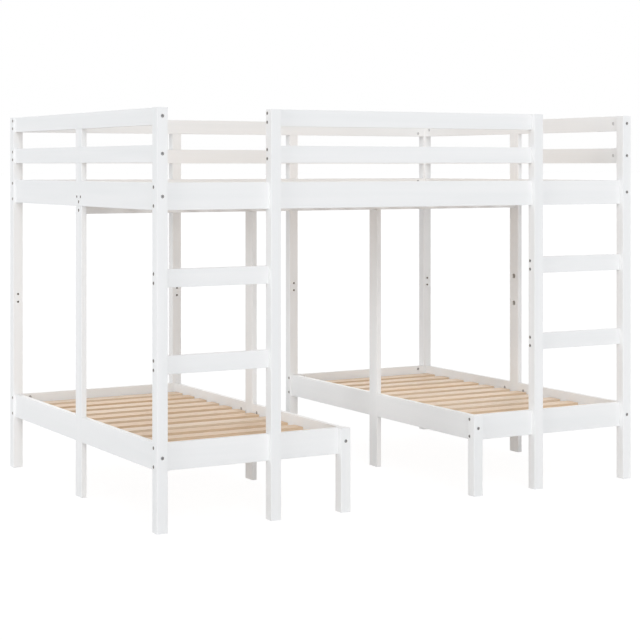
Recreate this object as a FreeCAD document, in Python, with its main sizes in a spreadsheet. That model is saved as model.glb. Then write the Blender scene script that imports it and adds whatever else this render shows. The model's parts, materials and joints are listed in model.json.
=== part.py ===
import FreeCAD, Part
import os
import re

# Triple bunk bed of white painted pine, in millimetres
# Two narrow beds stand side by side under one wide deck and run from front to back
# X runs along the front, Y runs from front to back, and Z is up from the floor
# The origin is on the floor under the middle of the bed, and the right half mirrors the left

# Driving sizes, one cell of the sheet for each
SIZES = {
    # The whole bed
    "bed_width": 2060,
    "bed_depth": 1480,
    "lower_bed_width": 760,
    "lower_rail_lift": 209,
    "deck_rail_lift": 1094,
    "guard_gap": 68,
    # The timber that it is cut from
    "post_side": 40,
    "board_thick": 20,
    "wide_tall": 94,
    "slim_tall": 60,
    "rung_tall": 63,
    "mid_board_wide": 60,
    # The two ladders
    "entry_gap": 396,
    "lower_rung_lift": 536,
    "rung_step": 295,
    # Ledgers and slats
    "ledger_tall": 30,
    "ledger_thick": 20,
    "ledger_raise": 15,
    "slat_wide": 65,
    "slat_thick": 14,
    "slat_end_play": 2,
    "lower_slat_count": 12,
    "lower_slat_gap": 18.5,
    "deck_slat_count": 17,
    "deck_slat_gap": 23.5,
    # Post bolts with their barrel nuts
    "slim_bolt_pitch": 32,
    "wide_bolt_pitch": 64,
    "head_radius": 5,
    "head_long": 6,
    "sink_deep": 8,
    "shank_radius": 3,
    "bore_play": 0.5,
    "nut_radius": 5,
    "nut_long": 16,
    "nut_inset": 32,
    # Rods through the mid posts, lap screws and the dowels under the beam
    "rod_inset": 37,
    "screw_radius": 4,
    "screw_long": 16,
    "screw_pitch": 37,
    "screw_raise": 35,
    "dowel_radius": 4,
    "dowel_long": 40,
    # Spare holes, drilled in the posts and left open
    "spare_radius": 4,
    "spare_deep": 12,
    "spare_lift": 700,
    "mid_spare_radius": 10,
    "mid_spare_lift": 706,
    "mid_spare_pitch": 118,
    # Clearance in the laps and notches, and the overrun of every cut
    "lap_play": 0.2,
    "cut_over": 5,
}

# Places worked out from the driving sizes
PLACES = {
    "left_face": "-bed_width / 2",
    "front_face": "-bed_depth / 2",
    "back_face": "bed_depth / 2",
    "rail_recess": "(post_side - board_thick) / 2",
    "half_board": "board_thick / 2",
    "half_post": "post_side / 2",
    "half_mid": "mid_board_wide / 2",
    "ladder_post_x": "left_face + post_side + entry_gap",
    "inner_post_x": "left_face + lower_bed_width - post_side",
    "back_post_y": "back_face - post_side",
    "outer_rail_x": "left_face + rail_recess",
    "inner_rail_x": "inner_post_x + rail_recess",
    "front_rail_y": "front_face + post_side - board_thick",
    "back_rail_y": "back_post_y",
    "rail_start_y": "front_face + post_side",
    "rail_run_y": "bed_depth - 2 * post_side",
    "half_rail_run_y": "rail_run_y / 2 - half_mid",
    "lower_rail_top": "lower_rail_lift + wide_tall",
    "deck_rail_top": "deck_rail_lift + wide_tall",
    "low_guard_lift": "deck_rail_top + guard_gap",
    "top_guard_lift": "low_guard_lift + slim_tall + guard_gap",
    "bed_height": "top_guard_lift + slim_tall",
    "upper_rung_lift": "lower_rung_lift + rung_step",
    "deck_seat": "deck_rail_lift + ledger_tall",
    "lower_seat": "lower_rail_lift + ledger_raise + ledger_tall",
    "beam_lift": "deck_seat - slim_tall",
    "nut_flat": "nut_radius * sqrt(3) / 2",
    "outer_clear_x": "outer_rail_x + board_thick",
    "deck_clear_run": "-2 * outer_clear_x",
    "lower_clear_run": "inner_rail_x - outer_clear_x",
    "deck_pitch": "(deck_clear_run - 2 * deck_slat_gap - slat_wide) / (deck_slat_count - 1)",
    "lower_pitch": "(rail_run_y - 2 * lower_slat_gap - slat_wide) / (lower_slat_count - 1)",
}

# The way that a bolt, nut or hole points, as the turn that lays its length along it
AIMS = {
    "+x": FreeCAD.Rotation(FreeCAD.Vector(0, 1, 0), 90),
    "-x": FreeCAD.Rotation(FreeCAD.Vector(0, 1, 0), -90),
    "+y": FreeCAD.Rotation(FreeCAD.Vector(1, 1, 1), -120),
    "-y": FreeCAD.Rotation(FreeCAD.Vector(1, -1, 1), 120),
    "+z": FreeCAD.Rotation(),
}
# Round bolts, nuts and holes have flat sides: six where they show, four inside the timber
OPEN_SIDES = 6
HIDDEN_SIDES = 4

doc = FreeCAD.newDocument("TripleBunkBed")
sheet = doc.addObject("Spreadsheet::Sheet", "Sizes")
for row, (alias, value) in enumerate(SIZES.items(), start=1):
    sheet.set(f"A{row}", alias)
    sheet.set(f"B{row}", str(value))
    sheet.setAlias(f"B{row}", alias)
doc.recompute()

blanks = {}
cutters = {}
bolts = []
nuts = []
rods = []
screws = []
dowels = []


def formula(text):
    """The text with every size as a cell of the sheet and every place written out."""

    def cell(match):
        word = match.group(0)
        if word in PLACES:
            return "(" + formula(PLACES[word]) + ")"
        if word in SIZES:
            return "Sizes." + word
        return word

    return re.sub(r"[a-z_]+", cell, text)


def place(thing, at):
    """Bind the three coordinates of a thing's place."""
    for axis, text in zip("xyz", at):
        thing.setExpression("Placement.Base." + axis, formula(text))


def board(name, at, sides):
    """A square-cut board from its low corner, with its sides along X, Y and Z."""
    timber = doc.addObject("Part::Box", name)
    place(timber, at)
    for side, text in zip(("Length", "Width", "Height"), sides):
        timber.setExpression(side, formula(text))
    return timber


def prism(name, at, aim, radius, run, sides=OPEN_SIDES):
    """A rod or hole that starts at a point and runs the way of its aim."""
    rod = doc.addObject("Part::Prism", name)
    rod.Polygon = sides
    rod.Placement = FreeCAD.Placement(FreeCAD.Vector(), AIMS[aim])
    rod.setExpression("Circumradius", formula(radius))
    rod.setExpression("Height", formula(run))
    place(rod, at)
    return rod


def along(at, aim, run):
    """The point that lies further along an aim."""
    moved = list(at)
    axis = "xyz".index(aim[1])
    moved[axis] = f"{at[axis]} {aim[0]} ({run})"
    return moved


def fuse(name, things):
    """Several shapes as one."""
    union = doc.addObject("Part::MultiFuse", name)
    union.Shapes = things
    return union


def group(name, things):
    """Several solids in one node, each still a solid of its own."""
    bundle = doc.addObject("Part::Compound", name)
    bundle.Links = things
    return bundle


def mirror(name, source):
    """The same thing on the right half of the bed."""
    twin = doc.addObject("Part::Mirroring", name)
    twin.Source = source
    twin.Base = FreeCAD.Vector(0, 0, 0)
    twin.Normal = FreeCAD.Vector(1, 0, 0)
    return twin


def piece(name, at, sides):
    """A piece of timber that joints are cut into before it is finished."""
    blanks[name] = board(name + "_blank", at, sides)
    cutters[name] = []


def bolted(name, at, aim, grip, nut_face, nut_aim, pieces):
    """A sunk bolt through a post and its barrel nut, with their bores in the pieces they meet."""
    reach = f"{grip} + nut_inset"
    head_at = along(at, aim, "sink_deep - head_long")
    shank_at = along(at, aim, "sink_deep")
    head = prism(name + "_head", head_at, aim, "head_radius", "head_long")
    shank_run = f"{reach} - nut_flat - sink_deep"
    shank = prism(name + "_shank", shank_at, aim, "shank_radius", shank_run, HIDDEN_SIDES)
    bolts.append(fuse(name + "_bolt", [head, shank]))

    nut_at = along(at, aim, reach)
    nut_at["xyz".index(nut_aim[1])] = nut_face
    nuts.append(prism(name + "_nut", nut_at, nut_aim, "nut_radius", "nut_long"))

    sink = prism(name + "_sink", at, aim, "head_radius + bore_play", "sink_deep")
    bore = prism(name + "_bore", at, aim, "shank_radius + bore_play", reach, HIDDEN_SIDES)
    socket = prism(name + "_socket", nut_at, nut_aim, "nut_radius + bore_play", "nut_long")
    cutter = fuse(name + "_cut", [sink, bore, socket])
    for each in pieces:
        cutters[each].append(cutter)


def pair(lift, tall, pitch):
    """The heights of two bolts, one above and one below the middle of a rail."""
    middle = f"{lift} + {tall} / 2"
    return (f"{middle} + {pitch} / 2", f"{middle} - {pitch} / 2")


def bolt_long_rail(name, face_x, aim, row, lift, tall, pitch, pieces):
    """Two bolts into the end of a rail or rung that runs along X."""
    centre_y, nut_face, nut_aim = ROWS[row]
    for spot, height in zip(("high", "low"), pair(lift, tall, pitch)):
        at = (face_x, centre_y, height)
        bolted(f"{name}_{spot}", at, aim, "post_side", nut_face, nut_aim, pieces)


def bolt_side_rail(name, line, face_y, aim, lift, tall, pieces):
    """One bolt into the end of a rail that runs along Y."""
    centre_x, nut_face, nut_aim = LINES[line]
    at = (centre_x, face_y, f"{lift} + {tall} / 2")
    bolted(name, at, aim, "post_side", nut_face, nut_aim, pieces)


# Centre, nut face and nut direction of the rails along X, then of those along Y
ROWS = {
    "front": ("front_rail_y + half_board", "front_rail_y + board_thick", "-y"),
    "back": ("back_rail_y + half_board", "back_rail_y", "+y"),
}
LINES = {
    "outer": ("outer_rail_x + half_board", "outer_clear_x", "-x"),
    "inner": ("inner_rail_x + half_board", "inner_rail_x", "+x"),
}

# Lift and height of the three rails round the deck
DECK_RAILS = {
    "deck": ("deck_rail_lift", "wide_tall"),
    "low_guard": ("low_guard_lift", "slim_tall"),
    "top_guard": ("top_guard_lift", "slim_tall"),
}
RUNGS = {"lower_rung": "lower_rung_lift", "upper_rung": "upper_rung_lift"}
HALVES = {"front": "rail_start_y", "back": "half_mid"}

# Posts of the left half: four at the front, four behind, two boards at mid depth
piece("left_front_post", ("left_face", "front_face", "0"), ("post_side", "post_side", "bed_height"))
piece("left_ladder_post", ("ladder_post_x", "front_face", "0"), ("post_side", "post_side", "bed_height"))
piece("left_short_post", ("inner_post_x", "front_face", "0"), ("post_side", "post_side", "lower_rail_top"))
piece("left_back_post", ("left_face", "back_post_y", "0"), ("post_side", "post_side", "bed_height"))
piece(
    "left_inner_back_post",
    ("inner_post_x", "back_post_y", "0"),
    ("post_side", "post_side", "bed_height"),
)
piece("left_mid_post", ("outer_rail_x", "-half_mid", "0"), ("board_thick", "mid_board_wide", "bed_height"))
piece(
    "left_inner_mid_post",
    ("inner_rail_x", "-half_mid", "0"),
    ("board_thick", "mid_board_wide", "beam_lift"),
)

# Deck rails and back guards run from corner post to corner post, in front of the inner back posts
for level, (lift, tall) in DECK_RAILS.items():
    side = "deck_side_rail" if level == "deck" else level + "_side_rail"
    piece("left_" + side, ("outer_rail_x", "rail_start_y", lift), ("board_thick", "rail_run_y", tall))
    piece(
        level + "_back_rail",
        ("left_face + post_side", "back_rail_y", lift),
        ("bed_width - 2 * post_side", "board_thick", tall),
    )
    notch = board(
        "left_inner_back_notch_" + level,
        ("inner_post_x - cut_over", "back_rail_y - cut_over", f"{lift} - lap_play"),
        ("post_side + 2 * cut_over", "board_thick + cut_over", f"{tall} + 2 * lap_play"),
    )
    cutters["left_inner_back_post"].append(notch)
piece(
    "deck_front_rail",
    ("left_face + post_side", "front_rail_y", "deck_rail_lift"),
    ("bed_width - 2 * post_side", "board_thick", "wide_tall"),
)

# Front guards stand between the two ladder posts only, so that the ladders stay open
for level in ("low_guard", "top_guard"):
    lift, tall = DECK_RAILS[level]
    piece(
        level + "_front_rail",
        ("ladder_post_x + post_side", "front_rail_y", lift),
        ("-2 * (ladder_post_x + post_side)", "board_thick", tall),
    )

# Rungs, between the corner post and the ladder post
for rung, lift in RUNGS.items():
    piece(
        "left_" + rung,
        ("left_face + post_side", "front_rail_y", lift),
        ("entry_gap", "board_thick", "rung_tall"),
    )

# Beam at mid depth, under the deck slats
piece(
    "mid_beam",
    ("outer_clear_x", "-half_board", "beam_lift"),
    ("deck_clear_run", "board_thick", "slim_tall"),
)

# Rails of the left lower bed, the side rails in two halves that meet the mid posts
for row, rail_y in (("front", "front_rail_y"), ("back", "back_rail_y")):
    piece(
        f"left_lower_{row}_rail",
        ("left_face + post_side", rail_y, "lower_rail_lift"),
        ("lower_bed_width - 2 * post_side", "board_thick", "wide_tall"),
    )
for line, rail_x in (("outer", "outer_rail_x"), ("inner", "inner_rail_x")):
    for half, start_y in HALVES.items():
        piece(
            f"left_lower_{line}_{half}_rail",
            (rail_x, start_y, "lower_rail_lift"),
            ("board_thick", "half_rail_run_y", "wide_tall"),
        )

# The ladder post is notched from behind, so that the deck rail and the lower rail pass it in one length
for level, lift in (("deck", "deck_rail_lift"), ("lower", "lower_rail_lift")):
    notch = board(
        "left_ladder_notch_" + level,
        ("ladder_post_x - cut_over", "front_rail_y", f"{lift} - lap_play"),
        ("post_side + 2 * cut_over", "board_thick + cut_over", "wide_tall + 2 * lap_play"),
    )
    cutters["left_ladder_post"].append(notch)

# The mid post and the three side rails that cross it are halved into each other
for level, (lift, tall) in DECK_RAILS.items():
    rail = f"left_{level}_side_rail"
    post_lap = board(
        "left_mid_lap_" + level,
        ("outer_rail_x - cut_over", "-half_mid - cut_over", f"{lift} - lap_play"),
        ("half_board + cut_over", "mid_board_wide + 2 * cut_over", f"{tall} + 2 * lap_play"),
    )
    rail_lap = board(
        rail + "_lap",
        ("outer_rail_x + half_board", "-half_mid - lap_play", f"{lift} - cut_over"),
        ("half_board + cut_over", "mid_board_wide + 2 * lap_play", f"{tall} + 2 * cut_over"),
    )
    cutters["left_mid_post"].append(post_lap)
    cutters[rail].append(rail_lap)

# Bolts through the corner and ladder posts into the rails and rungs along X
bolt_long_rail("deck_front_end", "left_face", "+x", "front", *DECK_RAILS["deck"], "wide_bolt_pitch",
               ("left_front_post", "deck_front_rail"))
bolt_long_rail("deck_back_end", "left_face", "+x", "back", *DECK_RAILS["deck"], "wide_bolt_pitch",
               ("left_back_post", "deck_back_rail"))
for level in ("low_guard", "top_guard"):
    bolt_long_rail(level + "_front_end", "ladder_post_x", "+x", "front", *DECK_RAILS[level],
                   "slim_bolt_pitch", ("left_ladder_post", level + "_front_rail"))
    bolt_long_rail(level + "_back_end", "left_face", "+x", "back", *DECK_RAILS[level],
                   "slim_bolt_pitch", ("left_back_post", level + "_back_rail"))
for rung, lift in RUNGS.items():
    bolt_long_rail(rung + "_outer_end", "left_face", "+x", "front", lift, "rung_tall",
                   "slim_bolt_pitch", ("left_front_post", "left_" + rung))
    bolt_long_rail(rung + "_inner_end", "ladder_post_x + post_side", "-x", "front", lift, "rung_tall",
                   "slim_bolt_pitch", ("left_ladder_post", "left_" + rung))
for row, inner_post in (("front", "left_short_post"), ("back", "left_inner_back_post")):
    rail = f"left_lower_{row}_rail"
    bolt_long_rail(f"lower_{row}_outer_end", "left_face", "+x", row, "lower_rail_lift", "wide_tall",
                   "wide_bolt_pitch", (f"left_{row}_post", rail))
    bolt_long_rail(f"lower_{row}_inner_end", "left_face + lower_bed_width", "-x", row,
                   "lower_rail_lift", "wide_tall", "wide_bolt_pitch", (inner_post, rail))

# Single bolts through the front and back faces of the posts into the side rails
for level, (lift, tall) in DECK_RAILS.items():
    rail = f"left_{level}_side_rail"
    bolt_side_rail(level + "_side_front_end", "outer", "front_face", "+y", lift, tall,
                   ("left_front_post", rail))
    bolt_side_rail(level + "_side_back_end", "outer", "back_face", "-y", lift, tall,
                   ("left_back_post", rail))
for line, front_post, back_post in (
    ("outer", "left_front_post", "left_back_post"),
    ("inner", "left_short_post", "left_inner_back_post"),
):
    bolt_side_rail(f"lower_{line}_front_end", line, "front_face", "+y", "lower_rail_lift",
                   "wide_tall", (front_post, f"left_lower_{line}_front_rail"))
    bolt_side_rail(f"lower_{line}_back_end", line, "back_face", "-y", "lower_rail_lift",
                   "wide_tall", (back_post, f"left_lower_{line}_back_rail"))

# Two bolts through the mid post hold the end of the beam, the upper one through the deck rail too
for spot, height in zip(("high", "low"), pair("beam_lift", "slim_tall", "slim_bolt_pitch")):
    held = ["left_mid_post", "mid_beam"]
    if spot == "high":
        held.append("left_deck_side_rail")
    bolted("beam_end_" + spot, ("outer_rail_x", "0", height), "+x", "board_thick",
           "half_board", "-y", held)

# Two rods through each mid post pull the halves of the lower side rails against it
for line, mid_post in (("outer", "left_mid_post"), ("inner", "left_inner_mid_post")):
    centre_x, nut_face, nut_aim = LINES[line]
    rails = [f"left_lower_{line}_{half}_rail" for half in HALVES]
    for spot, height in zip(("high", "low"), pair("lower_rail_lift", "wide_tall", "slim_bolt_pitch")):
        name = f"rod_{line}_{spot}"
        rod_start = (centre_x, "-half_mid - rod_inset + nut_flat", height)
        rod_run = "2 * (half_mid + rod_inset - nut_flat)"
        rods.append(prism(name, rod_start, "+y", "shank_radius", rod_run, HIDDEN_SIDES))
        bore_start = (centre_x, "-half_mid - rod_inset", height)
        bore_run = "2 * (half_mid + rod_inset)"
        bore = prism(name + "_bore", bore_start, "+y", "shank_radius + bore_play", bore_run, HIDDEN_SIDES)
        cutters[mid_post].append(bore)
        for rail, side in zip(rails, ("-", "+")):
            nut_at = (nut_face, f"{side}(half_mid + rod_inset)", height)
            nuts.append(prism(f"{rail}_{spot}_nut", nut_at, nut_aim, "nut_radius", "nut_long"))
            socket = prism(f"{rail}_{spot}_socket", nut_at, nut_aim, "nut_radius + bore_play", "nut_long")
            cutters[rail] += [bore, socket]

# Two screws from outside hold the deck rail's lap, and the guards' laps are glued
for spot, side in (("front", "-"), ("back", "+")):
    name = f"lap_{spot}_screw"
    at = ("outer_rail_x", f"{side}screw_pitch / 2", "deck_rail_lift + screw_raise")
    screws.append(prism(name, at, "+x", "screw_radius", "screw_long"))
    bore = prism(name + "_bore", at, "+x", "screw_radius + bore_play", "screw_long")
    cutters["left_mid_post"].append(bore)
    cutters["left_deck_side_rail"].append(bore)

# One dowel stands half in the inner mid post and half in the beam above it
dowel_at = ("inner_rail_x + half_board", "0", "beam_lift - dowel_long / 2")
dowels.append(prism("left_dowel", dowel_at, "+z", "dowel_radius", "dowel_long"))
dowel_bore = prism("left_dowel_bore", dowel_at, "+z", "dowel_radius + bore_play", "dowel_long")
cutters["left_inner_mid_post"].append(dowel_bore)
cutters["mid_beam"].append(dowel_bore)

# Spare holes on the inner faces, halfway up the tall back posts and the tall mid posts
for post, post_x in (("left_back_post", "left_face"), ("left_inner_back_post", "inner_post_x")):
    for spot, side in (("high", "+"), ("low", "-")):
        at = (f"{post_x} + half_post", "back_post_y", f"spare_lift {side} slim_bolt_pitch / 2")
        cutters[post].append(prism(f"{post}_{spot}_spare", at, "+y", "spare_radius", "spare_deep"))
for spot, side in (("high", "+"), ("low", "-")):
    at = ("outer_clear_x", "0", f"mid_spare_lift {side} mid_spare_pitch / 2")
    spare = prism(f"left_mid_{spot}_spare", at, "-x", "mid_spare_radius", "spare_deep")
    cutters["left_mid_post"].append(spare)

# Cut the joints; a long piece that reaches both halves is cut on the left and on the right
subparts = []
for name, blank in blanks.items():
    cutter = fuse(name + "_joints", cutters[name])
    long_piece = not name.startswith("left_")
    finished = doc.addObject("Part::Cut", name + "_left_cut" if long_piece else name)
    finished.Base = blank
    finished.Tool = cutter
    if long_piece:
        both_ends = doc.addObject("Part::Cut", name)
        both_ends.Base = finished
        both_ends.Tool = mirror(name + "_right_joints", cutter)
        finished = both_ends
    subparts.append(finished)

# Ledgers that the slats lie on: along the deck's front and back, and along the lower side rails
for row, ledger_y in (("front", "rail_start_y"), ("back", "back_rail_y - ledger_thick")):
    subparts.append(
        board(
            f"deck_{row}_ledger",
            ("outer_clear_x + slat_end_play", ledger_y, "deck_rail_lift"),
            ("deck_clear_run - 2 * slat_end_play", "ledger_thick", "ledger_tall"),
        )
    )
for line, ledger_x in (("outer", "outer_clear_x"), ("inner", "inner_rail_x - ledger_thick")):
    subparts.append(
        board(
            f"left_lower_{line}_ledger",
            (ledger_x, "rail_start_y + slat_end_play", "lower_rail_lift + ledger_raise"),
            ("ledger_thick", "rail_run_y - 2 * slat_end_play", "ledger_tall"),
        )
    )

# Slats, one group for each bed
lower_slats = []
for number in range(int(SIZES["lower_slat_count"])):
    slat_y = f"rail_start_y + lower_slat_gap + {number} * lower_pitch"
    lower_slats.append(
        board(
            f"left_lower_slat_{number + 1}",
            ("outer_clear_x + slat_end_play", slat_y, "lower_seat"),
            ("lower_clear_run - 2 * slat_end_play", "slat_wide", "slat_thick"),
        )
    )
subparts.append(group("left_lower_slats", lower_slats))
deck_slats = []
for number in range(int(SIZES["deck_slat_count"])):
    slat_x = f"outer_clear_x + deck_slat_gap + {number} * deck_pitch"
    deck_slats.append(
        board(
            f"deck_slat_{number + 1}",
            (slat_x, "rail_start_y + slat_end_play", "deck_seat"),
            ("slat_wide", "rail_run_y - 2 * slat_end_play", "slat_thick"),
        )
    )
subparts.append(group("deck_slats", deck_slats))

# Mirror what stands on the left, then gather the fasteners of both halves
for left in [thing for thing in subparts if thing.Label.startswith("left_")]:
    subparts.append(mirror(left.Label.replace("left_", "right_", 1), left))
for name, fasteners in (
    ("post_bolts", bolts),
    ("barrel_nuts", nuts),
    ("mid_post_rods", rods),
    ("lap_screws", screws),
    ("beam_dowels", dowels),
):
    left_half = group(name + "_left_half", fasteners)
    subparts.append(group(name, [left_half, mirror(name + "_right_half", left_half)]))

doc.recompute()

# Refuse a document with a failed object or a sub-part that is not sound
for thing in doc.Objects:
    if "Invalid" in thing.State or "Error" in thing.State:
        raise RuntimeError(f"{thing.Label} failed: {thing.State}")
for thing in subparts:
    if thing.Shape.isNull() or not thing.Shape.isValid():
        raise RuntimeError(f"{thing.Label} is not a sound shape")

os.makedirs("parts", exist_ok=True)
for thing in subparts:
    thing.Shape.exportStep(f"parts/{thing.Label}.step")
print(f"{len(subparts)} sub-parts, {sum(len(thing.Shape.Solids) for thing in subparts)} solids")
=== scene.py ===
import json
import math

import bmesh
import bpy
from mathutils import Matrix, Vector


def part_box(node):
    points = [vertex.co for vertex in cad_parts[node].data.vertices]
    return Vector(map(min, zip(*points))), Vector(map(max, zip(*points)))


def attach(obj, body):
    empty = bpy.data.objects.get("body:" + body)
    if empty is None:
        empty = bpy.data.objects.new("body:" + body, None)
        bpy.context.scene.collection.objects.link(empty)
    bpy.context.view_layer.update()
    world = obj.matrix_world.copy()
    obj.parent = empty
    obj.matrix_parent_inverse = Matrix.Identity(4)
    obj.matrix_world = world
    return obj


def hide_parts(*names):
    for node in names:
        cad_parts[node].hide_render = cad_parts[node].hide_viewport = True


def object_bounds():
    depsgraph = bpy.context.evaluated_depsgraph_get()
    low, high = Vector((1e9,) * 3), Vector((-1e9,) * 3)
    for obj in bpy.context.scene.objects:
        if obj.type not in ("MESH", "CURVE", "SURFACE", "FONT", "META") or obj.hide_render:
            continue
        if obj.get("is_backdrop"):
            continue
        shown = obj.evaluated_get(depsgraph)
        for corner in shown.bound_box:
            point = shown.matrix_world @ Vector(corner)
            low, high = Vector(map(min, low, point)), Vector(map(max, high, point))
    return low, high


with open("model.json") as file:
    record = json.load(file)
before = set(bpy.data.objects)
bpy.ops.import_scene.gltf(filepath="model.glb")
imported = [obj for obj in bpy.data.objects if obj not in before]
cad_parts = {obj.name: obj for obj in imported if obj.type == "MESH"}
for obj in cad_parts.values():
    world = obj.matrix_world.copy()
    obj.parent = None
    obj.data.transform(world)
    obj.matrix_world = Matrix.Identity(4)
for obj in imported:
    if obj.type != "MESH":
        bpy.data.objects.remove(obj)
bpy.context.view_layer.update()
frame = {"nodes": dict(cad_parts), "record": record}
nodes = frame["nodes"]
slots = {part["node"]: part["material_slot"] for part in frame["record"]["subparts"]}

# Lengths are in metres, written as millimetres times this
MM = 0.001
AXES = "XYZ"

# The photograph's camera: level, at the height of a child's eyes, to the left of the bed
PICTURE_PIXELS = 640
FOCAL_PIXELS = 1666.9
HORIZON_PIXEL = 166.4
SENSOR = 36.0
HEADING = math.radians(29.74)
CAMERA_PLACE = Vector((-3342, -5895, 1243)) * MM

# Timber: how far its edges are rounded, and how far a face may tilt before it counts as a side
ARRIS = 1.2 * MM
ARRIS_STEPS = 3
ARRIS_TURN = math.radians(60)

# Open holes: six-sided in the solids, and round here, with a lip where the drill breaks the surface
CAD_HOLE_SIDES = 6
RIM_ANGLE = math.radians(80)
HOLE_SIDES = 32
HOLE_EASE = 0.05 * MM
HOLE_LIP = 0.5 * MM
WIDE_RADIUS = 8.0 * MM

# Cutting and joining: how far cutters reach past a face, and how near points are joined
TRIM_OVER = 0.02 * MM
CUT_OVER = 1.0 * MM
WELD = 0.01 * MM

# Material slots of a piece after its outer one: inside its bores and recesses, in tones partly darkened as
# painted shade, then a third tone, for wide holes on timber and for a lighter steel painted as light on the
# guards' nuts
INNER = 1
WIDE = 2
LIGHTENED = 2

# Hardware: metric six-millimetre bolts and rods, and ten-millimetre barrel nuts, of which those in
# the guards lie above a certain height
TURN_STEPS = 24
SHARP_ANGLE = math.radians(35)
KEY_SIDES = 6
KEY_RADIUS = 2.9 * MM
KEY_DEEP = 3.5 * MM
HEAD_RADIUS = 5.0 * MM
HEAD_LONG = 6.0 * MM
SHANK_RADIUS = 3.0 * MM
RIM_EASE = 0.5 * MM
SLOT_HALF = 0.7 * MM
SLOT_DEEP = 1.5 * MM
SCREW_SINK = 1.2 * MM
SCREW_HEAD_RADIUS = 3.8 * MM
SCREW_CONE_LONG = 3.0 * MM
SCREW_SHANK_RADIUS = 2.0 * MM
DOWEL_RADIUS = 4.0 * MM
GUARDS_FROM = 1200 * MM
DULL_SWAY = 0.09

# Wood: the length after which a wave pattern of scale 1 repeats, how far a board may lie from the heart
# of its log, and the tones of a growth ring from spring to autumn on planed pine and on saw-cut sides,
# which are darker partly as painted shade
WAVE_LENGTH = math.tau / 20
HEART_REACH = 120 * MM
RING_PLACES = (0.0, 0.6, 0.9, 1.0)
PLANED = ("#EFE0D0", "#ECDBC8", "#E3CDB4", "#E9D7C2")
SAWN_AND_SHADED = ("#E5D3BD", "#E1CDB6", "#D6BEA2", "#DEC9AF")

# Studio: a floor that is nearly white to the camera, and the strength of the light all round
FLOOR_SIDE = 400.0
FLOOR_GLOW = 1.12
FLOOR_GLOW_SHARE = 0.8
FILL_STRENGTH = 0.54
WHITE_STRENGTH = 1.0


def linear(hex_colour):
    """An sRGB hex colour as the linear colour that a shader wants."""
    channels = [int(hex_colour[i:i + 2], 16) / 255 for i in (1, 3, 5)]
    return [c / 12.92 if c <= 0.04045 else ((c + 0.055) / 1.055) ** 2.4 for c in channels] + [1.0]


def node(tree, kind, inputs=None, stops=(), **settings):
    """Add a node and set it up: each input gets a value or the output that feeds it, a ramp its stops."""
    made = tree.nodes.new("ShaderNode" + kind)
    for name, value in settings.items():
        setattr(made, name, value)
    for name, value in (inputs or {}).items():
        if isinstance(value, bpy.types.NodeSocket):
            tree.links.new(value, made.inputs[name])
        else:
            made.inputs[name].default_value = value
    for index, (place, colour) in enumerate(stops):
        elements = made.color_ramp.elements
        if index == len(elements):
            elements.new(place)
        elements[index].position = place
        elements[index].color = linear(colour)
    return made


def empty_material(name):
    """A material with an output and nothing else."""
    made = bpy.data.materials.new(name)
    made.use_nodes = True
    made.node_tree.nodes.clear()
    return made, made.node_tree, node(made.node_tree, "OutputMaterial")


def coated(made, tree, output, look):
    """The material, finished with one shader of the given look."""
    shader = node(tree, "BsdfPrincipled", look)
    tree.links.new(shader.outputs["BSDF"], output.inputs["Surface"])
    return made


def drawn_out(tree, along, share):
    """Object coordinates shrunk along the grain, so that every pattern is drawn out that way."""
    place = node(tree, "TexCoord").outputs["Object"]
    scale = [share if axis == along else 1.0 for axis in AXES]
    return node(tree, "Mapping", {"Vector": place, "Scale": scale}).outputs["Vector"]


def growth_rings(tree, vector, along, spacing, wander):
    """The rings of a log round its axis, one to each spacing, bent by the given wander."""
    pattern = {"Vector": vector, "Scale": WAVE_LENGTH / spacing, "Distortion": wander,
               "Detail": 3.0, "Detail Scale": 0.35, "Detail Roughness": 0.45}
    style = {"wave_type": "RINGS", "rings_direction": along, "wave_profile": "SAW"}
    return node(tree, "TexWave", pattern, **style).outputs["Fac"]


def painted_pine(along):
    """Pine under satin white lacquer, sprayed: even and bright, with the grain as faint ridges."""
    made, tree, output = empty_material(f"white_lacquer_on_pine_{along.lower()}")
    place = node(tree, "TexCoord").outputs["Object"]
    vector = drawn_out(tree, along, share=0.04)
    cloud = node(tree, "TexNoise", {"Vector": vector, "Scale": 1 / (45 * MM), "Detail": 3.0}).outputs["Fac"]
    colour = node(tree, "ValToRGB", {"Fac": cloud}, stops=((0.3, "#ECEDED"), (0.7, "#F1F1F1")))
    grain = growth_rings(tree, vector, along, spacing=6 * MM, wander=3.0)
    peel = node(tree, "TexNoise", {"Vector": place, "Scale": 1 / (1.2 * MM), "Detail": 2.0}).outputs["Fac"]
    ridges = node(tree, "Bump", {"Height": grain, "Distance": 0.05 * MM, "Strength": 0.55})
    surface = node(tree, "Bump", {"Height": peel, "Distance": 0.03 * MM, "Strength": 0.5,
                                  "Normal": ridges.outputs["Normal"]})
    sheen = node(tree, "MapRange", {"Value": cloud, "To Min": 0.42, "To Max": 0.54})
    return coated(made, tree, output, {
        "Base Color": colour.outputs["Color"], "Roughness": sheen.outputs["Result"],
        "Normal": surface.outputs["Normal"], "IOR": 1.48})


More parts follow.
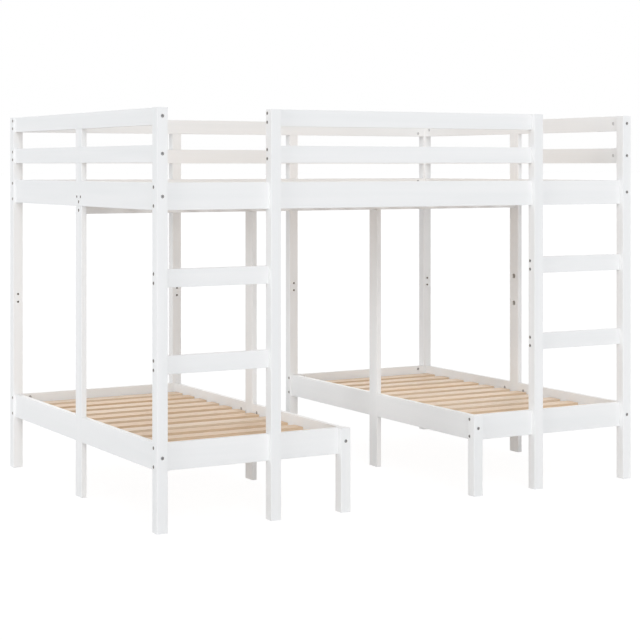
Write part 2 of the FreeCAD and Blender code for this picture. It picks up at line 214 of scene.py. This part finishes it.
def bare_pine(name, hues, along, across, pitch, shift):
    """Pine slats, untreated: straw coloured and matt, each board with its own tone and rings."""
    made, tree, output = empty_material(name)

    # A chance value for each board, from its number across the bed and its half along the bed
    place = node(tree, "SeparateXYZ", {"Vector": node(tree, "TexCoord").outputs["Object"]})
    number = node(tree, "MapRange", {"Value": place.outputs[across], "From Min": -shift * pitch,
                                     "From Max": (1 - shift) * pitch}, clamp=False).outputs["Result"]
    board = node(tree, "Math", {0: number}, operation="FLOOR").outputs["Value"]
    half = node(tree, "Math", {0: place.outputs[along]}, operation="SIGN").outputs["Value"]
    seed = node(tree, "CombineXYZ", {"X": board, "Y": half}).outputs["Vector"]
    chance = node(tree, "TexWhiteNoise", {"Vector": seed}, noise_dimensions="3D")

    # Growth rings round a heart that lies elsewhere for each board, and fine fibres along them
    heart = node(tree, "VectorMath", {0: chance.outputs["Color"], 1: (HEART_REACH,) * 3},
                 operation="MULTIPLY").outputs["Vector"]
    log = node(tree, "VectorMath", {0: drawn_out(tree, along, share=0.03), 1: heart},
               operation="ADD").outputs["Vector"]
    year = growth_rings(tree, log, along, spacing=5 * MM, wander=4.0)
    fibre = node(tree, "TexNoise", {"Vector": log, "Scale": 1 / (1.5 * MM), "Detail": 4.0}).outputs["Fac"]

    wood = node(tree, "ValToRGB", {"Fac": year}, stops=tuple(zip(RING_PLACES, hues)))
    streak = node(tree, "ValToRGB", {"Fac": fibre}, stops=((0.35, "#F4E8DA"), (0.7, "#FFFFFF")))
    tone = node(tree, "ValToRGB", {"Fac": chance.outputs["Value"]},
                stops=((0.0, "#F6ECE0"), (0.5, "#FFFFFF"), (1.0, "#FFF6EB")))
    colour = wood.outputs["Color"]
    for factor, layer in ((0.45, streak), (1.0, tone)):
        colour = node(tree, "Mix", {"Factor": factor, "A": colour, "B": layer.outputs["Color"]},
                      data_type="RGBA", blend_type="MULTIPLY").outputs["Result"]
    bump = node(tree, "Bump", {"Height": fibre, "Distance": 0.12 * MM, "Strength": 0.7})
    return coated(made, tree, output, {
        "Base Color": colour, "Roughness": 0.62, "Normal": bump.outputs["Normal"], "IOR": 1.5})


def drilled_pine(name, dark, light):
    """Pine inside a drilled hole: torn grain, quite matt, in grey tones that are partly bare wood and partly
    painted shade.
    """
    made, tree, output = empty_material(name)
    place = node(tree, "TexCoord").outputs["Object"]
    torn = node(tree, "TexNoise", {"Vector": place, "Scale": 1 / (0.7 * MM), "Detail": 3.0}).outputs["Fac"]
    colour = node(tree, "ValToRGB", {"Fac": torn}, stops=((0.3, dark), (0.7, light)))
    fuzz = node(tree, "Bump", {"Height": torn, "Distance": 0.2 * MM, "Strength": 0.8})
    return coated(made, tree, output, {
        "Base Color": colour.outputs["Color"], "Roughness": 0.85,
        "Normal": fuzz.outputs["Normal"], "IOR": 1.5})


def turned_steel(name, dark, light, dull):
    """Steel, drawn and turned, with a thin coat: grey metal with a soft, slightly uneven shine."""
    made, tree, output = empty_material(name)
    place = node(tree, "TexCoord").outputs["Object"]
    spots = node(tree, "TexNoise", {"Vector": place, "Scale": 1 / (2 * MM), "Detail": 2.0}).outputs["Fac"]
    colour = node(tree, "ValToRGB", {"Fac": spots}, stops=((0.3, dark), (0.7, light)))
    sheen = node(tree, "MapRange", {"Value": spots, "To Min": dull - DULL_SWAY, "To Max": dull + DULL_SWAY})
    return coated(made, tree, output, {
        "Base Color": colour.outputs["Color"], "Metallic": 1.0, "Roughness": sheen.outputs["Result"]})


def turned_beech():
    """Beech dowel rod: pale pinkish brown with short dark flecks along it."""
    made, tree, output = empty_material("beech_dowel_rod")
    vector = drawn_out(tree, "Z", share=0.2)
    fleck = node(tree, "TexNoise", {"Vector": vector, "Scale": 1 / (0.8 * MM), "Detail": 3.0}).outputs["Fac"]
    colour = node(tree, "ValToRGB", {"Fac": fleck}, stops=((0.3, "#B98B62"), (0.6, "#D6B088")))
    return coated(made, tree, output, {
        "Base Color": colour.outputs["Color"], "Roughness": 0.6, "IOR": 1.5})


def finished(name, mesh, materials, *replaced):
    """Put a mesh into the scene as a piece that rides on the bed and stands for its CAD nodes."""
    piece = bpy.data.objects.new(name, mesh)
    bpy.context.scene.collection.objects.link(piece)
    while len(mesh.materials) < len(materials):
        mesh.materials.append(None)
    for index, material in enumerate(materials):
        mesh.materials[index] = material
    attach(piece, "root")
    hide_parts(*replaced)
    return piece


def to_mesh(work, name):
    """Close a bmesh and keep it as a mesh."""
    mesh = bpy.data.meshes.new(name)
    work.to_mesh(mesh)
    work.free()
    return mesh


def welded(name):
    """A copy of a CAD node's mesh with its loose triangles joined up."""
    work = bmesh.new()
    work.from_mesh(nodes[name].data)
    bmesh.ops.remove_doubles(work, verts=work.verts, dist=WELD)
    return work


def extent(points):
    """The lowest and highest corner round some points."""
    low = Vector([min(point[axis] for point in points) for axis in range(3)])
    high = Vector([max(point[axis] for point in points) for axis in range(3)])
    return low, high


def hanging_together(items, neighbours):
    """The groups in which items hang together, in the order in which they come."""
    loose = dict.fromkeys(items)
    groups = []
    for start in list(loose):
        if start not in loose:
            continue
        del loose[start]
        group = [start]
        for item in group:
            for other in neighbours(item):
                if other in loose:
                    del loose[other]
                    group.append(other)
        groups.append(group)
    return groups


def solids(name):
    """The corner points of each separate solid in a CAD node."""
    work = welded(name)
    groups = hanging_together(work.verts, lambda vert: [e.other_vert(vert) for e in vert.link_edges])
    points = [[vert.co.copy() for vert in group] for group in groups]
    work.free()
    return points


def rounded_block(work, low, high):
    """Add a block with its twelve edges rounded."""
    place = Matrix.Translation((low + high) / 2) @ Matrix.Diagonal((*(high - low), 1))
    verts = bmesh.ops.create_cube(work, size=1, matrix=place)["verts"]
    edges = list(dict.fromkeys(edge for vert in verts for edge in vert.link_edges))
    bmesh.ops.bevel(work, geom=edges, offset=ARRIS, offset_type="OFFSET", segments=ARRIS_STEPS,
                    profile=0.5, affect="EDGES", clamp_overlap=True, material=-1)


def facing(point, way):
    """The placement that sets a shape's foot at a point and its length along a way."""
    turn = Vector((0, 0, 1)).rotation_difference(way)
    return Matrix.Translation(point) @ turn.to_matrix().to_4x4()


def turned(work, profile, steps, place=None):
    """Add a turned shape from its profile of radius and height, and give its faces."""
    verts = [work.verts.new((radius, 0, height)) for radius, height in profile]
    edges = [work.edges.new(pair) for pair in zip(verts, verts[1:])]
    before = set(work.verts) - set(verts)
    bmesh.ops.spin(work, geom=verts + edges, axis=(0, 0, 1), cent=(0, 0, 0), steps=steps,
                   angle=math.tau, use_merge=True)
    made = [vert for vert in work.verts if vert not in before]
    bmesh.ops.remove_doubles(work, verts=made, dist=WELD)
    made = [vert for vert in work.verts if vert not in before]
    if place:
        bmesh.ops.transform(work, matrix=place, verts=made)
    faces = list(dict.fromkeys(face for vert in made for face in vert.link_faces))
    bmesh.ops.recalc_face_normals(work, faces=faces)
    return faces


def touching(edge):
    """The edges that share a corner with an edge."""
    return [other for vert in edge.verts for other in vert.link_edges]


def hole_mouths(work, low, high):
    """Centre, way in, radius and depth of each hole that opens on an outer face."""
    rims = [edge for edge in work.edges if edge.calc_face_angle(0) > RIM_ANGLE]
    holes = []
    for axis in range(3):
        for end, sign in ((low, 1), (high, -1)):
            way = Vector([sign if other == axis else 0 for other in range(3)])
            flat = [edge for edge in rims if all(abs(v.co[axis] - end[axis]) < WELD for v in edge.verts)]
            for loop in hanging_together(flat, touching):
                lengths = [edge.calc_length() for edge in loop]
                if len(loop) != CAD_HOLE_SIDES or max(lengths) - min(lengths) > WELD:
                    continue
                corners = list(dict.fromkeys(vert for edge in loop for vert in edge.verts))
                centre = sum((vert.co for vert in corners), Vector()) / len(corners)
                runs = [(edge.other_vert(v).co - v.co).dot(way) for v in corners for edge in v.link_edges]
                holes.append((centre, way, lengths[0], max(runs)))
    return holes


def combined(mesh, other, operation):
    """One closed mesh cut or trimmed by another, each face with the material slot it had."""
    for data in (mesh, other):
        while len(data.materials) <= WIDE:
            data.materials.append(None)
    pair = [bpy.data.objects.new(label, data) for label, data in (("work", mesh), ("tool", other))]
    for thing in pair:
        bpy.context.scene.collection.objects.link(thing)
    change = pair[0].modifiers.new(operation, "BOOLEAN")
    change.operation = operation
    change.solver = "EXACT"
    change.object = pair[1]
    graph = bpy.context.evaluated_depsgraph_get()
    result = bpy.data.meshes.new_from_object(pair[0].evaluated_get(graph))
    for thing in pair:
        bpy.data.objects.remove(thing)
    return result


def timber(name, material):
    """A CAD piece with rounded edges and with its open holes made round."""
    low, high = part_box(name)
    work = welded(name)
    holes = hole_mouths(work, low, high)
    mesh = to_mesh(work, name + "_timber")
    over = Vector((TRIM_OVER,) * 3)
    block = bmesh.new()
    rounded_block(block, low - over, high + over)
    mesh = combined(mesh, to_mesh(block, "block"), "INTERSECT")
    if holes:
        drill = bmesh.new()
        for centre, way, radius, depth in holes:
            bore = radius + HOLE_EASE
            lip = bore + HOLE_LIP
            floor_depth = depth + HOLE_EASE
            profile = ((0, -CUT_OVER), (lip, -CUT_OVER), (lip, 0), (bore, HOLE_LIP),
                       (bore, floor_depth), (0, floor_depth))
            # Hole walls take the greyed pine as painted shade, darker in narrow holes than in wide ones
            for face in turned(drill, profile, HOLE_SIDES, facing(centre, way)):
                face.material_index = WIDE if radius > WIDE_RADIUS else INNER
        mesh = combined(mesh, to_mesh(drill, "drill"), "DIFFERENCE")
    mesh.name = name + "_timber"
    return finished(name + "_timber", mesh, (material, narrow_hole_shaded, wide_hole_shaded), name)


def slat_set(name, materials):
    """All the slats of one bed, with rounded edges, planed above and below, and saw-cut at the sides, where
    a darker tone is partly painted shade.
    """
    work = bmesh.new()
    for points in solids(name):
        rounded_block(work, *extent(points))
    work.normal_update()
    # Upright side faces take slot 1, the darker saw-cut tone that is partly painted shade
    for face in work.faces:
        face.material_index = int(abs(face.normal.z) < math.cos(ARRIS_TURN))
    return finished(name + "_planed", to_mesh(work, name + "_planed"), materials, name)


def slat_run(name, along, across):
    """How slats lie: the axes of their grain and of their row, their pitch, and half a pitch of
    shift where one slat lies in the middle."""
    axis = AXES.index(across)
    middles = sorted(sum((p[axis] for p in points)) / len(points) for points in solids(name))
    pitch = (middles[-1] - middles[0]) / (len(middles) - 1)
    return along, across, pitch, len(middles) % 2 / 2


def scattered(name, sets, materials, replaced):
    """One piece made of templates, each of them set at its own places."""
    work = bmesh.new()
    for template, places in sets:
        for place in places:
            first = len(work.verts)
            work.from_mesh(template)
            work.verts.ensure_lookup_table()
            bmesh.ops.transform(work, matrix=place, verts=work.verts[first:])
    mesh = to_mesh(work, name)
    mesh.shade_smooth()
    mesh.set_sharp_from_angle(angle=SHARP_ANGLE)
    return finished(name, mesh, materials, replaced)


def axis_ends(points):
    """The two ends of a long solid's centre line."""
    low, high = extent(points)
    axis = max(range(3), key=lambda i: high[i] - low[i])
    ends = []
    for corner in (low, high):
        end = (low + high) / 2
        end[axis] = corner[axis]
        ends.append(end)
    return ends


def girth(points, end, way):
    """How far a solid's corners at one end stand from its centre line."""
    near = [point - end for point in points if abs((point - end).dot(way)) < WELD]
    return max((offset - offset.dot(way) * way).length for offset in near)


def head_first(points):
    """The placement of a bolt, from its thicker end."""
    first, last = axis_ends(points)
    way = (last - first).normalized()
    if girth(points, first, way) < girth(points, last, way):
        first, way = last, -way
    return facing(first, way)


def spans(name, outside_in=False):
    """Length of the plain rods in a CAD node, all alike, and the placement of each."""
    ends = [axis_ends(points) for points in solids(name)]
    if outside_in:
        ends = [sorted(pair, key=lambda end: -abs(end.x)) for pair in ends]
    long = (ends[0][1] - ends[0][0]).length
    return long, [facing(foot, (tip - foot).normalized()) for foot, tip in ends]


def socket_bolt(long):
    """A cap bolt along Z from its head, with a six-sided key socket."""
    work = bmesh.new()
    outer = ((KEY_RADIUS + RIM_EASE, 0), (HEAD_RADIUS - RIM_EASE, 0), (HEAD_RADIUS, RIM_EASE),
             (HEAD_RADIUS, HEAD_LONG), (SHANK_RADIUS, HEAD_LONG), (SHANK_RADIUS, long - RIM_EASE),
             (SHANK_RADIUS - RIM_EASE, long), (0, long))
    socket = ((KEY_RADIUS, 0), (KEY_RADIUS, KEY_DEEP), (0, KEY_DEEP + RIM_EASE))
    turned(work, outer, TURN_STEPS)
    # The key socket takes slot 1, a darker steel that is painted shade
    for face in turned(work, socket, KEY_SIDES):
        face.material_index = INNER
    open_edges = [edge for edge in work.edges if edge.is_boundary]
    bmesh.ops.triangle_fill(work, use_beauty=True, edges=open_edges)
    bmesh.ops.recalc_face_normals(work, faces=work.faces)
    return to_mesh(work, "socket_bolt")


def slot_cutter(size, *places):
    """Blocks of one size that leave the inner material, a darker steel painted as shade, where they cut."""
    cutter = bmesh.new()
    for place in places:
        bmesh.ops.create_cube(cutter, size=1, matrix=place @ Matrix.Diagonal((*size, 1)))
    for face in cutter.faces:
        face.material_index = INNER
    return to_mesh(cutter, "slot_cutter")


def eased_rod(radius, long):
    """A plain rod along Z with eased ends."""
    work = bmesh.new()
    profile = ((0, 0), (radius - RIM_EASE, 0), (radius, RIM_EASE), (radius, long - RIM_EASE),
               (radius - RIM_EASE, long), (0, long))
    turned(work, profile, TURN_STEPS)
    return to_mesh(work, "eased_rod")


def slotted_rod(radius, long):
    """A rod along Z with a driver slot in both ends."""
    size = (2 * radius + CUT_OVER, 2 * SLOT_HALF, 2 * SLOT_DEEP)
    places = [Matrix.Translation((0, 0, height)) for height in (0, long)]
    return combined(eased_rod(radius, long), slot_cutter(size, *places), "DIFFERENCE")


def wood_screw(long):
    """A countersunk wood screw along Z, its cross recess cut in the head."""
    work = bmesh.new()
    profile = ((0, SCREW_SINK), (SCREW_HEAD_RADIUS, SCREW_SINK),
               (SCREW_SHANK_RADIUS, SCREW_SINK + SCREW_CONE_LONG),
               (SCREW_SHANK_RADIUS, long - SCREW_CONE_LONG), (0, long))
    turned(work, profile, TURN_STEPS)
    screw = to_mesh(work, "wood_screw")
    size = (SCREW_HEAD_RADIUS, SLOT_HALF, 2 * SLOT_DEEP)
    for turn in (0, math.pi / 2):
        place = Matrix.Translation((0, 0, SCREW_SINK)) @ Matrix.Rotation(turn, 4, "Z")
        screw = combined(screw, slot_cutter(size, place), "DIFFERENCE")
    return screw


# Painted pine with its grain along each axis
paint = {axis: painted_pine(axis) for axis in AXES}

# Slats: planed faces come out smooth and pale, and saw-cut sides darker, partly as painted shade
deck_run = slat_run("deck_slats", "Y", "X")
bed_run = slat_run("left_lower_slats", "X", "Y")
deck_pine, bed_pine = (
    [bare_pine(f"{cut}_pine_{bed}", hues, *run) for cut, hues in (("planed", PLANED), ("sawn_and_shaded", SAWN_AND_SHADED))]
    for bed, run in (("deck", deck_run), ("bed", bed_run)))

# Holes: their walls are grey, partly as painted shade, darker in narrow ones and lighter in wide ones
narrow_hole_shaded = drilled_pine("drilled_pine_narrow_shaded", "#8F877C", "#ABA297")
wide_hole_shaded = drilled_pine("drilled_pine_wide_shaded", "#C6C2BB", "#D6D3CE")

# Steel: bright zinc on what was turned, a darker steel painted as shade in the recesses, a lighter steel
# painted as light on the nuts of the guards, and the blue-black of oxide on the screws
bright_steel = turned_steel("zinc_plated_steel", "#B0B1B4", "#C0C1C3", dull=0.41)
shaded_recess_steel = turned_steel("painted_shade_steel_recess", "#96979A", "#A6A7AA", dull=0.5)
lightened_guard_steel = turned_steel("painted_light_guard_steel", "#D2D3D5", "#DEDFE1", dull=0.55)
black_steel = turned_steel("black_oxide_steel", "#4B4B4D", "#5C5C5E", dull=0.45)
beech = turned_beech()

# Timber, each painted piece with its grain along its length
for name in sorted(nodes):
    if slots[name] == "white_pine":
        low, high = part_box(name)
        longest = max(range(3), key=lambda i: high[i] - low[i])
        timber(name, paint[AXES[longest]])
slat_set("deck_slats", deck_pine)
slat_set("left_lower_slats", bed_pine)
slat_set("right_lower_slats", bed_pine)

# Post bolts come in two lengths: through the posts, and through the mid posts into the beam
bolts = {}
for points in solids("post_bolts"):
    first, last = axis_ends(points)
    bolts.setdefault(round((last - first).length / MM), []).append(head_first(points))
bolt_sets = [(socket_bolt(long * MM), places) for long, places in bolts.items()]
scattered("socket_bolts", bolt_sets, (bright_steel, shaded_recess_steel), "post_bolts")

# Barrel nuts and rods are slotted at both ends; the nuts of the guards get a lighter steel, painted light
for name, node_name, radius in (
    ("slotted_barrel_nuts", "barrel_nuts", HEAD_RADIUS),
    ("through_rods", "mid_post_rods", SHANK_RADIUS),
):
    long, places = spans(node_name)
    steel = (bright_steel, shaded_recess_steel, lightened_guard_steel)
    piece = scattered(name, [(slotted_rod(radius, long), places)], steel, node_name)
    # Nuts above this height, in the shaded guards, get the lighter steel as painted light
    for face in piece.data.polygons:
        if face.center.z > GUARDS_FROM:
            face.material_index = LIGHTENED

# Dowels of the beam, and lap screws driven from outside
long, places = spans("beam_dowels")
scattered("turned_dowels", [(eased_rod(DOWEL_RADIUS, long), places)], (beech,), "beam_dowels")
long, places = spans("lap_screws", outside_in=True)
scattered("lap_wood_screws", [(wood_screw(long), places)], (black_steel, shaded_recess_steel), "lap_screws")

# Floor: pale and plain, and nearly white to the camera, so that only a faint shadow shows
floor_work = bmesh.new()
bmesh.ops.create_grid(floor_work, x_segments=1, y_segments=1, size=FLOOR_SIDE / 2)
floor = bpy.data.objects.new("studio_floor", to_mesh(floor_work, "studio_floor"))
bpy.context.scene.collection.objects.link(floor)
made, tree, output = empty_material("studio_floor")
matt = node(tree, "BsdfDiffuse", {"Color": linear("#F0F0F0")})
glow = node(tree, "Emission", {"Color": linear("#FFFFFF"), "Strength": FLOOR_GLOW})
seen = node(tree, "LightPath").outputs["Is Camera Ray"]
share = node(tree, "Math", {0: seen, 1: FLOOR_GLOW_SHARE}, operation="MULTIPLY").outputs["Value"]
mixed = node(tree, "MixShader", {"Fac": share, 1: matt.outputs["BSDF"], 2: glow.outputs["Emission"]})
tree.links.new(mixed.outputs["Shader"], output.inputs["Surface"])
floor.data.materials.append(made)
floor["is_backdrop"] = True

# World: soft light all round, and white where the camera or a reflection looks past the bed
world = bpy.data.worlds.new("studio")
bpy.context.scene.world = world
world.use_nodes = True
tree = world.node_tree
tree.nodes.clear()
path = node(tree, "LightPath")
clear = path.outputs["Is Camera Ray"]
for ray in ("Is Glossy Ray", "Is Transmission Ray"):
    clear = node(tree, "Math", {0: clear, 1: path.outputs[ray]}, operation="MAXIMUM").outputs["Value"]
fill = node(tree, "Background", {"Color": linear("#FAFCFF"), "Strength": FILL_STRENGTH})
white = node(tree, "Background", {"Color": linear("#FFFFFF"), "Strength": WHITE_STRENGTH})
sky = node(tree, "MixShader", {"Fac": clear, 1: fill.outputs["Background"], 2: white.outputs["Background"]})
tree.links.new(sky.outputs["Shader"], node(tree, "OutputWorld").inputs["Surface"])

# Lights: wide soft suns, which light the floor evenly far past the bed. The low ones reach in under
# the deck, the high front one reaches the back guards, and the back one the tops and the far sides.
for name, azimuth, elevation, spread, strength in (
    ("low_left_light", -79, 12, 25, 0.75),
    ("low_front_light", -18, 3, 16, 0.42),
    ("high_front_light", -18, 30, 30, 0.86),
    ("high_back_light", 155, 32, 45, 0.85),
):
    light = bpy.data.lights.new(name, "SUN")
    light.angle = math.radians(spread)
    light.energy = strength
    lamp = bpy.data.objects.new(name, light)
    lamp.rotation_euler = (math.radians(90 - elevation), 0, math.radians(azimuth))
    bpy.context.scene.collection.objects.link(lamp)

# Camera
camera_data = bpy.data.cameras.new("camera")
camera_data.sensor_width = SENSOR
camera_data.lens = FOCAL_PIXELS * SENSOR / PICTURE_PIXELS
camera_data.shift_y = (HORIZON_PIXEL - PICTURE_PIXELS / 2) / PICTURE_PIXELS
camera = bpy.data.objects.new("camera", camera_data)
camera.location = CAMERA_PLACE
camera.rotation_euler = (math.pi / 2, 0, -HEADING)
bpy.context.scene.collection.objects.link(camera)
bpy.context.scene.camera = camera

bpy.context.scene.view_settings.view_transform = "Standard"

low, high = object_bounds()
